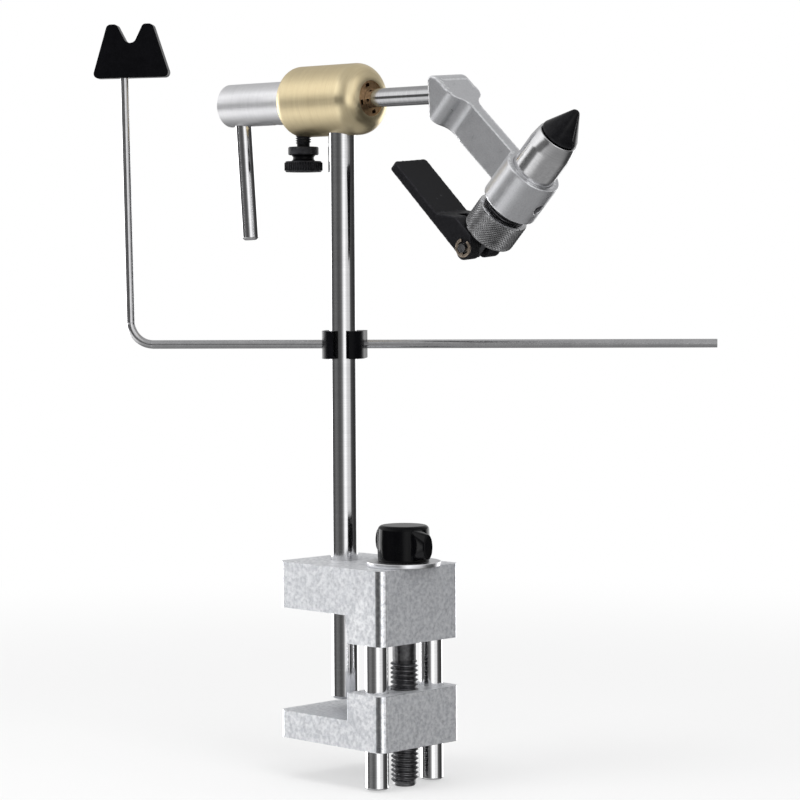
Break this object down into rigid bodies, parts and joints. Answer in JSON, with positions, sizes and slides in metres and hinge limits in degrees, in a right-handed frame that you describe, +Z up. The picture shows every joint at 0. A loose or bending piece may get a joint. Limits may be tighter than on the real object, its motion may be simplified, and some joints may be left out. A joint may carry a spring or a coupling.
{
  "type": "fly tying vise",
  "caption": "Rotary fly tying vise with a table clamp, an upright stem, a brass rotary head, a cam-lever jaw on an offset arm and a material rest.",
  "frame": {"origin": "on the stem's axis, in the plane of the upper clamp arm's underside, which rests on the table top", "axes": "+Z up along the stem; +X runs off the table, from the tips of the clamp's arms towards the clamp screw and the jaw; +Y makes it right-handed"},
  "size_m": [0.1732, 0.1419, 0.2612],
  "materials": {
    "tumbled_aluminium": "tumbled, speckled satin",
    "polished_steel": "ground and polished",
    "washer_steel": "turned satin",
    "black_oxide_steel": "black oxide, semi-matt",
    "knob_plastic": "glossy moulded",
    "brass": "fine lathe-brushed",
    "bronze": "machined",
    "red_fibre": "matt fibre",
    "black_knurled_metal": "black, knurled",
    "nylon": "matt",
    "turned_aluminium": "lathe-ringed",
    "blasted_aluminium": "bead-blasted matt",
    "satin_steel": "turned satin",
    "knurled_steel": "diamond knurl with bright chamfers",
    "black_jaw_steel": "black satin",
    "spring_steel": "drawn wire",
    "black_lever_paint": "matt black",
    "bronzed_spring_steel": "bronze-black",
    "rest_plastic": "smooth semi-matt moulded"
  },
  "bodies": {
    "clamp": {"upper_jaw": "tumbled_aluminium", "guide_rods": "polished_steel", "thrust_washer": "washer_steel", "stem_set_screw": "black_oxide_steel"},
    "lower_jaw": {"lower_jaw": "tumbled_aluminium"},
    "clamp_screw": {"clamp_screw": "black_oxide_steel", "clamp_knob": "knob_plastic"},
    "stem": {"stem": "polished_steel"},
    "head": {"head_housing": "brass", "front_bush": "bronze", "rear_bush": "bronze", "friction_washer": "red_fibre"},
    "drag_pad": {"drag_pad": "nylon"},
    "drag_screw": {"drag_screw": "black_knurled_metal"},
    "rotor": {"rotary_shaft": "polished_steel", "rear_hub": "turned_aluminium", "hub_set_screw": "black_oxide_steel", "crank_handle": "polished_steel", "jaw_arm": "blasted_aluminium", "arm_set_screw": "black_oxide_steel", "jaw_set_screw": "black_oxide_steel", "jaw_body": "satin_steel", "return_spring": "spring_steel"},
    "adjusting_knob": {"adjusting_knob": "knurled_steel"},
    "draw_rod": {"draw_rod": "satin_steel", "cam_pin": "black_oxide_steel", "pin_clips": "bronzed_spring_steel"},
    "cam_lever": {"cam_lever": "black_lever_paint"},
    "near_jaw": {"near_jaw": "black_jaw_steel"},
    "far_jaw": {"far_jaw": "black_jaw_steel"},
    "rest_clip": {"rest_clip": "rest_plastic"},
    "rest_rod": {"rest_rod": "polished_steel", "rest_head": "rest_plastic"}
  },
  "joints": [
    {"name": "clamp_screw_turn", "type": "hinge", "parent": "clamp", "child": "clamp_screw", "pos_m": [0.0291, 0, 0], "axis": [0, 0, 1], "range_deg": [-613, 2496]},
    {"name": "lower_jaw_slide", "type": "slide", "parent": "clamp", "child": "lower_jaw", "axis": [0, 0, 1], "range_m": [-0.011, 0.0027]},
    {"name": "stem_slide", "type": "slide", "parent": "clamp", "child": "stem", "axis": [0, 0, 1], "range_m": [0, 0.032]},
    {"name": "head_turn", "type": "hinge", "parent": "stem", "child": "head", "pos_m": [0, 0, 0.1746], "axis": [0, 0, 1], "continuous": true},
    {"name": "drag_pad_slide", "type": "slide", "parent": "head", "child": "drag_pad", "axis": [0, 0, 1], "range_m": [-0.002, 0]},
    {"name": "drag_screw_turn", "type": "hinge", "parent": "drag_pad", "child": "drag_screw", "pos_m": [-0.01793, -0.00157, 0.1546], "axis": [0, 0, 1], "range_deg": [-901, 0]},
    {"name": "rotor_turn", "type": "hinge", "parent": "head", "child": "rotor", "pos_m": [0, 0, 0.1746], "axis": [0.9962, 0.0872, 0], "continuous": true},
    {"name": "adjuster_turn", "type": "hinge", "parent": "rotor", "child": "adjusting_knob", "pos_m": [0.06024, 0.00898, 0.12764], "axis": [0.7093, 0.0064, 0.7049], "range_deg": [-180, 180]},
    {"name": "draw_rod_slide", "type": "slide", "parent": "rotor", "child": "draw_rod", "axis": [0.7093, 0.0064, 0.7049], "range_m": [0, 0.0019]},
    {"name": "cam_lever_turn", "type": "hinge", "parent": "draw_rod", "child": "cam_lever", "pos_m": [0.05655, 0.00895, 0.12397], "axis": [0.0869, -0.9931, -0.0785], "range_deg": [0, 80.5]},
    {"name": "near_jaw_open", "type": "slide", "parent": "draw_rod", "child": "near_jaw", "axis": [0.0869, -0.9931, -0.0785], "range_m": [0, 0.00051]},
    {"name": "far_jaw_open", "type": "slide", "parent": "draw_rod", "child": "far_jaw", "axis": [-0.0869, 0.9931, 0.0785], "range_m": [0, 0.00051]},
    {"name": "rest_clip_turn", "type": "hinge", "parent": "head", "child": "rest_clip", "pos_m": [0, 0, 0.0904], "axis": [0, 0, 1], "range_deg": [-55, 0]},
    {"name": "rest_rod_slide", "type": "slide", "parent": "rest_clip", "child": "rest_rod", "axis": [0.766, 0.6428, 0], "range_m": [-0.1, 0]}
  ],
  "couplings": [
    {"joint": "clamp_screw_turn", "follows": "lower_jaw_slide", "rad_per_m": -3957.9},
    {"joint": "drag_screw_turn", "follows": "drag_pad_slide", "rad_per_m": 7854},
    {"joint": "cam_lever_turn", "follows": "draw_rod_slide", "rad_per_m": 734.9},
    {"joint": "near_jaw_open", "follows": "draw_rod_slide", "ratio": 0.263},
    {"joint": "far_jaw_open", "follows": "draw_rod_slide", "ratio": 0.263}
  ]
}
